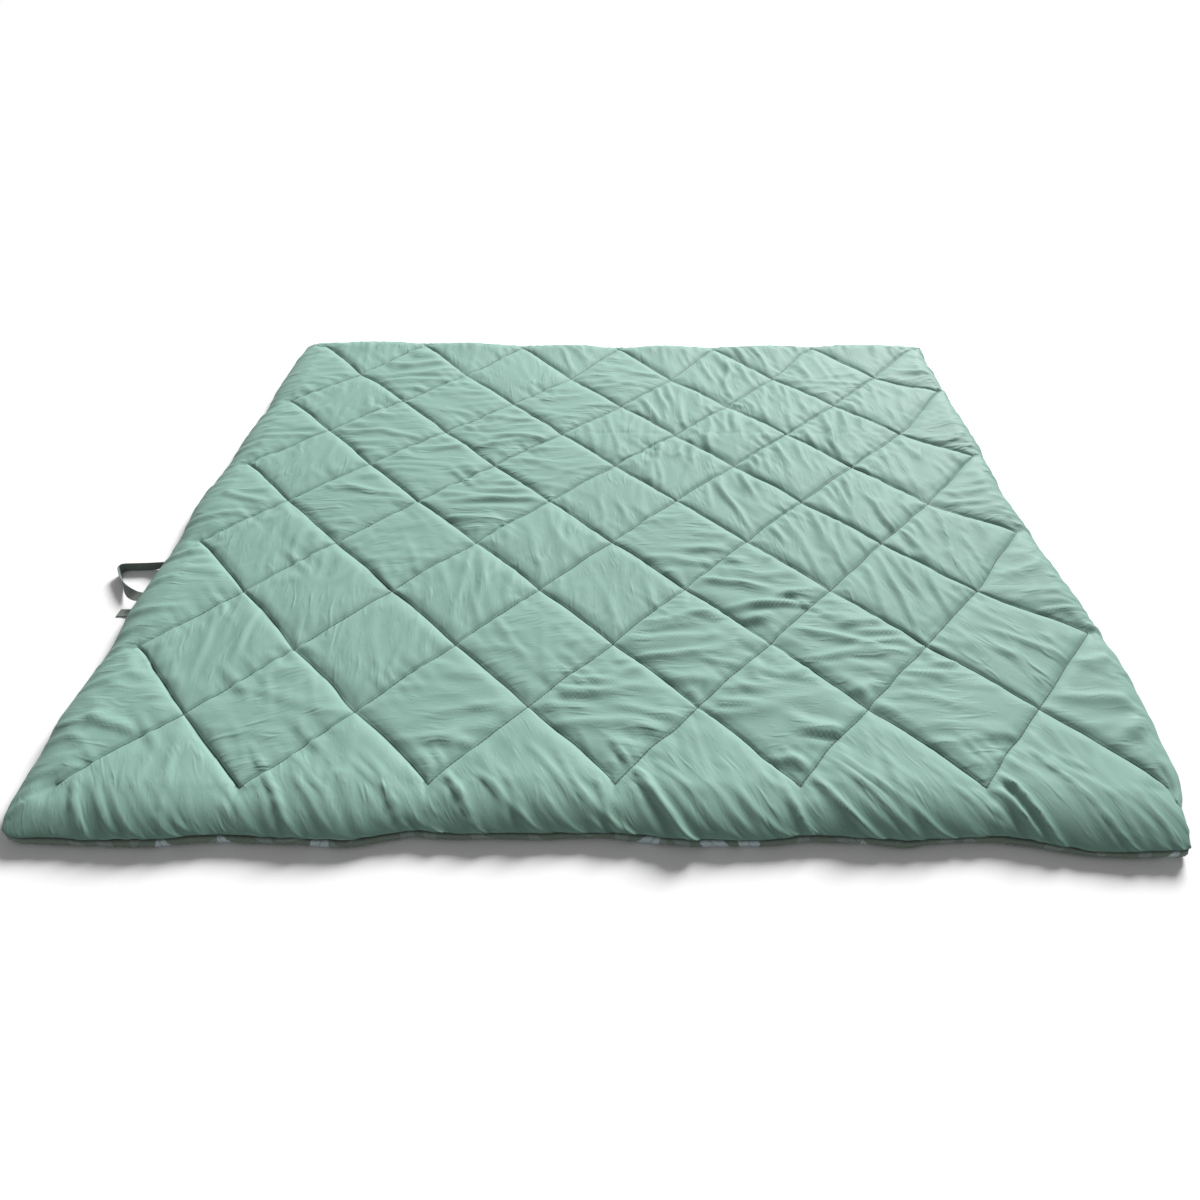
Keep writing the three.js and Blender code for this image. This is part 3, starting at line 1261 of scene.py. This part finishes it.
@dataclass(frozen=True)
class Backing:
    """The backing, one sheet that lies flat below and turns up to the seam."""

    outline: Outline
    steps: int = 24
    thickness: float = 0.0016
    channel: float = 0.007
    # The width of the band over which the painted shadow at the seam is stored.
    seam_shadow: float = 0.03
    gathers: tuple[Ripple, ...] = (Ripple(0.003, 0.045, 21.0), Ripple(0.006, 0.10, 22.0))

    def lay(self, flat: np.ndarray) -> np.ndarray:
        """Lays the sheet below the filling and up its side.

        Args:
            flat: Places on the flat panel.

        Returns:
            The places in space.
        """
        o = self.outline
        inner, way, size, share = o.reach(flat)
        up = np.clip((share - 0.70) / 0.30, 0, 1)
        low = smoothstep(0, 0.5, up)
        high = np.clip(up * 2 - 1, 0, 1)
        side = np.where(up < 0.5, size - 0.010 + 0.020 * np.sin(np.pi * np.minimum(up, 0.5)), size + 0.010)
        run = np.where(share < 0.70, (size - 0.010) * share / 0.70, side - 0.013 * high ** 1.3)
        full = o.quilting.fullness(flat)
        bed = self.channel * (1 - full ** 0.35) * (1 - smoothstep(0.2, 0.6, share))
        seam = o.seam_height(flat) - 0.001
        z = bed + seam * (0.30 * low + 0.70 * high)
        gather = sum(ripple.at(*inner.T) for ripple in self.gathers)
        run = run + gather * np.sin(np.pi * up)
        return np.column_stack([o.wandered(flat, inner + way * run[:, None]), z + self.thickness * 0.05])

    def build(self) -> bpy.types.Object:
        """Makes the piece.

        Returns:
            The finished backing.
        """
        backing = Panel("backing", self.outline.quilting, self.steps).cut()
        backing.name = "backing_sheet"
        flat = read_points(backing)[:, :2].copy()
        write_points(backing, self.lay(flat))
        write_points(backing, softened(backing, ~at_edge(flat), 0.5, 3))
        mesh = backing.data
        lay_map(mesh, "cut", flat[corner_vertices(mesh)])
        # Painted shadow along the seam, strongest at the edge.
        store_values(backing, "seam_shadow", 1 - from_edge(flat) / self.seam_shadow)
        make_active(backing)
        bpy.ops.object.mode_set(mode="EDIT")
        bpy.ops.mesh.select_all(action="SELECT")
        bpy.ops.mesh.flip_normals()
        bpy.ops.object.mode_set(mode="OBJECT")
        solid = backing.modifiers.new("thickness", "SOLIDIFY")
        solid.thickness = self.thickness
        solid.offset = -1
        apply_modifiers(backing)
        smooth_faces(backing)
        mesh.materials.append(BackingCloth().make())
        return backing


# ---------------------------------------------------------------- the webbing straps


@dataclass(frozen=True)
class WebbingCloth:
    """Flat woven webbing in grey-green, ribbed across, with close selvedges."""

    yarn: tuple[float, float, float] = (0.160, 0.205, 0.180)
    gap: tuple[float, float, float] = (0.060, 0.080, 0.070)
    rib_scale: float = 190
    wear_scale: float = 90

    def make(self) -> bpy.types.Material:
        """Builds the material.

        Returns:
            The webbing's material.
        """
        material, tree, shader = new_material("webbing")
        cut = add_node(tree, "UVMap", uv_map="cut").outputs["UV"]
        ribs = []
        for turn in (math.pi / 4, -math.pi / 4):
            way = add_node(tree, "Mapping", {"Vector": cut, "Rotation": (0, 0, turn)}).outputs["Vector"]
            wave = add_node(tree, "TexWave", {"Vector": way, "Scale": self.rib_scale, "Distortion": 0.6})
            ribs.append(wave.outputs["Fac"])
        weave = add_math(tree, "MULTIPLY", *ribs)
        tone = add_math(tree, "MULTIPLY_ADD", weave, 0.7, add_noise(tree, cut, self.wear_scale))
        tree.links.new(add_mix(tree, tone, (*self.gap, 1), (*self.yarn, 1)), shader.inputs["Base Color"])
        tree.links.new(add_range(tree, weave, (0, 1), (0.85, 0.6)), shader.inputs["Roughness"])
        tree.links.new(add_bump(tree, weave, 0.0005, 0.8), shader.inputs["Normal"])
        shader.inputs["Sheen Weight"].default_value = 0.2
        return material


@dataclass(frozen=True)
class Strap:
    """A strip of webbing on a route, each point with the tilt of its width in degrees."""

    name: str
    route: tuple[tuple[float, float, float, float], ...]
    width: float = 0.025
    thickness: float = 0.0016
    pitch: float = 0.0022
    rows: int = 8
    cupping: float = 0.0024
    selvedge: float = 0.0004

    def path(self) -> np.ndarray:
        """Runs a smooth curve through the route.

        Returns:
            Points and tilts, closely and evenly spaced.
        """
        knots = np.array(self.route)
        knots = np.vstack([2 * knots[0] - knots[1], knots, 2 * knots[-1] - knots[-2]])
        pieces = []
        for a, b, c, d in zip(knots, knots[1:], knots[2:], knots[3:]):
            t = np.linspace(0, 1, 24, endpoint=False)[:, None]
            pieces.append(0.5 * (2 * b + (c - a) * t + (2 * a - 5 * b + 4 * c - d) * t**2
                                 + (3 * b - a - 3 * c + d) * t**3))
        dense = np.vstack([*pieces, knots[-2:-1]])
        run = np.concatenate([[0], np.cumsum(np.linalg.norm(np.diff(dense[:, :3], axis=0), axis=1))])
        count = round(run[-1] / self.pitch)
        return np.column_stack([np.interp(np.linspace(0, run[-1], count + 1), run, k) for k in dense.T])

    @property
    def length(self) -> float:
        """The strip's real length."""
        return float(np.linalg.norm(np.diff(self.path()[:, :3], axis=0), axis=1).sum())

    def build(self, finish: bpy.types.Material) -> bpy.types.Object:
        """Makes the piece.

        Args:
            finish: The webbing's material.

        Returns:
            The finished strap.
        """
        path = self.path()
        count = len(path) - 1
        deselect_all()
        bpy.ops.mesh.primitive_grid_add(x_subdivisions=count, y_subdivisions=self.rows, size=1)
        strap = bpy.context.object
        strap.name = self.name
        grid = read_points(strap)
        step = np.round((grid[:, 0] + 0.5) * count).astype(int)
        tangent = np.gradient(path[:, :3], axis=0)
        tangent /= np.linalg.norm(tangent, axis=1)[:, None]
        level = np.cross((0, 0, 1), tangent)
        level /= np.linalg.norm(level, axis=1)[:, None]
        tilt = np.radians(path[:, 3])[:, None]
        across = level * np.cos(tilt) + np.cross(tangent, level) * np.sin(tilt)
        face = np.cross(tangent, across)
        cup = self.cupping * (grid[:, 1] ** 2)[:, None]
        points = path[step, :3] + across[step] * (grid[:, 1] * self.width)[:, None] + face[step] * cup
        write_points(strap, points)
        mesh = strap.data
        places = np.stack([step * self.pitch, grid[:, 1] * self.width], 1)
        lay_map(mesh, "cut", places[corner_vertices(mesh)])
        solid = strap.modifiers.new("thickness", "SOLIDIFY")
        solid.thickness = self.thickness
        solid.offset = 0
        rounded = strap.modifiers.new("selvedge", "BEVEL")
        rounded.width = self.selvedge
        rounded.segments = 2
        rounded.limit_method = "ANGLE"
        apply_modifiers(strap)
        smooth_faces(strap)
        mesh.materials.append(finish)
        return strap


# ---------------------------------------------------------------- the stitching


@dataclass(frozen=True)
class Thread:
    """Twisted sewing thread, a shade darker than the cover."""

    colour: tuple[float, float, float] = (0.060, 0.105, 0.082)
    shades: tuple[float, float] = (0.6, 1.4)
    ply_scale: float = 900

    def make(self) -> bpy.types.Material:
        """Builds the material.

        Returns:
            The thread's material.
        """
        material, tree, shader = new_material("thread")
        ply = add_noise(tree, add_node(tree, "TexCoord").outputs["Object"], self.ply_scale)
        dark, light = ((*(shade * c for c in self.colour), 1) for shade in self.shades)
        tree.links.new(add_mix(tree, ply, dark, light), shader.inputs["Base Color"])
        tree.links.new(add_bump(tree, ply, 0.0002, 0.6), shader.inputs["Normal"])
        shader.inputs["Roughness"].default_value = 0.55
        return material


@dataclass(frozen=True)
class Stitching:
    """The running stitches of the quilting, one short bar of thread each."""

    lines: list[np.ndarray]
    pitch: float = 0.0095
    length: float = 0.0080
    radius: float = 0.0008
    lift: float = 0.0001

    def stitch(self) -> bpy.types.Object:
        """Models one stitch along X, with its ends drawn in.

        Returns:
            The stitch at the origin.
        """
        deselect_all()
        bpy.ops.mesh.primitive_cylinder_add(
            vertices=5, radius=self.radius, depth=self.length, rotation=(0, math.pi / 2, 0),
            location=(self.pitch / 2, 0, 0),
        )
        stitch = bpy.context.object
        bpy.ops.object.transform_apply(location=True, rotation=True, scale=False)
        bpy.ops.object.mode_set(mode="EDIT")
        bpy.ops.mesh.select_mode(type="FACE")
        for way in (1, -1):
            bpy.ops.mesh.select_all(action="DESELECT")
            bpy.ops.object.mode_set(mode="OBJECT")
            for face in stitch.data.polygons:
                face.select = face.normal.x * way > 0.9
            bpy.ops.object.mode_set(mode="EDIT")
            move = (way * (self.pitch * 0.98 - self.length) / 2, 0, -self.radius)
            bpy.ops.mesh.extrude_region_move(TRANSFORM_OT_translate={"value": move})
            bpy.ops.transform.resize(value=(1, 0.5, 0.5))
        bpy.ops.object.mode_set(mode="OBJECT")
        return stitch

    def build(self) -> bpy.types.Object:
        """Makes the piece.

        Returns:
            All the stitches as one piece.
        """
        first = self.stitch()
        rows = []
        for number, line in enumerate(self.lines):
            curve = bpy.data.curves.new(f"line_{number}", "CURVE")
            curve.dimensions = "3D"
            curve.twist_mode = "Z_UP"
            spline = curve.splines.new("POLY")
            spline.points.add(len(line) - 1)
            raised = line + (0, 0, self.lift)
            spline.points.foreach_set("co", np.column_stack([raised, np.ones(len(line))]).ravel())
            guide = bpy.data.objects.new(f"line_{number}", curve)
            bpy.context.scene.collection.objects.link(guide)
            make_active(first)
            bpy.ops.object.duplicate()
            row = bpy.context.object
            run = float(np.linalg.norm(np.diff(line, axis=0), axis=1).sum())
            repeat = row.modifiers.new("repeat", "ARRAY")
            repeat.fit_type = "FIXED_COUNT"
            repeat.count = max(int(run / self.pitch), 1)
            repeat.use_relative_offset = False
            repeat.use_constant_offset = True
            repeat.constant_offset_displace = (self.pitch, 0, 0)
            follow = row.modifiers.new("follow", "CURVE")
            follow.object = guide
            follow.deform_axis = "POS_X"
            apply_modifiers(row)
            rows.append(row)
            bpy.data.objects.remove(guide)
        bpy.data.objects.remove(first)
        make_active(rows[0])
        for row in rows:
            row.select_set(True)
        bpy.ops.object.join()
        stitching = bpy.context.object
        stitching.name = "quilting_stitches"
        smooth_faces(stitching)
        stitching.data.materials.append(Thread().make())
        return stitching


# ---------------------------------------------------------------- floor, lights and camera


@dataclass(frozen=True)
class Studio:
    """A plain pale floor under a wide sun from the back right and a weak panel light from behind."""

    camera_place: tuple[float, float, float] = (-0.0176, -1.6927, 1.3011)
    camera_tilt: float = 43.908
    camera_turn: float = 0.603
    focal_share: float = 0.6285
    film_width: float = 36
    sun_width: float = 0.38
    panel_size: float = 1.4
    sky: float = 0.26
    floor_size: float = 40
    floor_tone: float = 0.88

    def build(self) -> None:
        """Makes the floor, the lights, the world and the camera."""
        self.floor()
        self.light("key_light", "SUN", (1.92, 3.52, 2.32), 5.5).angle = self.sun_width
        self.light("back_light", "AREA", (-0.3, 2.7, 1.9), 36).size = self.panel_size
        world = bpy.data.worlds.new("studio")
        world.use_nodes = True
        background = world.node_tree.nodes["Background"]
        background.inputs["Color"].default_value = (1, 1, 1, 1)
        background.inputs["Strength"].default_value = self.sky
        bpy.context.scene.world = world
        bpy.context.scene.view_settings.view_transform = "Standard"
        self.camera()

    def floor(self) -> None:
        """Makes the floor."""
        deselect_all()
        bpy.ops.mesh.primitive_plane_add(size=self.floor_size)
        floor = bpy.context.object
        floor.name = "floor"
        pale, _, shader = new_material("floor")
        shader.inputs["Base Color"].default_value = (self.floor_tone, self.floor_tone, self.floor_tone, 1)
        shader.inputs["Roughness"].default_value = 0.9
        floor.data.materials.append(pale)

    def light(self, name: str, kind: str, place: tuple[float, float, float], power: float) -> bpy.types.Light:
        """Makes one soft light, aimed at the middle.

        Args:
            name: The light's name.
            kind: Blender's word for the kind of light.
            place: Its place in metres.
            power: Its strength, in watts for a panel.

        Returns:
            The light, whose width is still to be set.
        """
        light = bpy.data.lights.new(name, kind)
        light.energy = power
        holder = bpy.data.objects.new(name, light)
        holder.location = place
        holder.rotation_euler = Vector(place).to_track_quat("Z", "Y").to_euler()
        bpy.context.scene.collection.objects.link(holder)
        return light

    def camera(self) -> None:
        """Makes the camera, above the front edge and looking down at the middle."""
        lens = bpy.data.cameras.new("camera")
        lens.sensor_width = self.film_width
        lens.lens = self.film_width * self.focal_share
        holder = bpy.data.objects.new("camera", lens)
        holder.location = self.camera_place
        holder.rotation_euler = (math.radians(90 - self.camera_tilt), 0, math.radians(self.camera_turn))
        bpy.context.scene.collection.objects.link(holder)
        bpy.context.scene.camera = holder


LOOP_ROUTE = (  # x, y and z in metres, and the tilt of the width in degrees
    (-1.1285, -0.236, 0.0290, 25), (-1.152, -0.238, 0.0210, 52), (-1.184, -0.241, 0.0132, 86),
    (-1.225, -0.244, 0.0128, 90), (-1.255, -0.246, 0.0128, 90), (-1.264, -0.253, 0.0128, 90),
    (-1.261, -0.267, 0.0128, 90), (-1.240, -0.300, 0.0130, 84), (-1.212, -0.334, 0.0170, 58),
    (-1.176, -0.362, 0.0240, 24), (-1.1405, -0.375, 0.0290, 6),
)
END_ROUTE = (
    (-1.1405, -0.403, 0.0270, 0), (-1.156, -0.4025, 0.0170, 0), (-1.172, -0.402, 0.0060, 0),
    (-1.188, -0.401, 0.0015, 0), (-1.207, -0.400, 0.0012, 0),
)


@dataclass(frozen=True)
class Comforter:
    """The whole comforter: cover, backing, straps and stitching."""

    quilting: Quilting = field(default_factory=Quilting)

    def place(self, piece: bpy.types.Object, node: Node, slot: Slot) -> None:
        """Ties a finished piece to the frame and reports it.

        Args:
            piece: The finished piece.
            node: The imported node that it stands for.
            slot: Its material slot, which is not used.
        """
        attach(piece, BODY)
        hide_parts(node.value)
        triangles = sum(len(face.vertices) - 2 for face in piece.data.polygons)
        LOG.info("%s: %d triangles", piece.name, triangles)

    def build(self) -> None:
        """Builds every piece in order."""
        outline = Outline(self.quilting)
        maker = Cover(outline, Folds(self.quilting))
        cover = maker.build()
        self.place(cover, Node.COVER, Slot.COVER)
        stitches = Stitching(maker.lines).build()
        self.place(stitches, Node.COVER, Slot.COVER)
        backing = Backing(outline).build()
        self.place(backing, Node.BACKING, Slot.BACKING)
        webbing = WebbingCloth().make()
        straps = (("webbing_loop", LOOP_ROUTE, Node.LOOP), ("webbing_end", END_ROUTE, Node.END))
        for name, route, node in straps:
            strap = Strap(name, route)
            piece = strap.build(webbing)
            self.place(piece, node, Slot.WEBBING)
            round(strap.length, 3)


def main() -> None:
    """Builds the comforter and its studio."""
    logging.basicConfig(level=logging.INFO, format="%(message)s")
    Comforter().build()
    Studio().build()


if __name__ == "__main__":
    main()
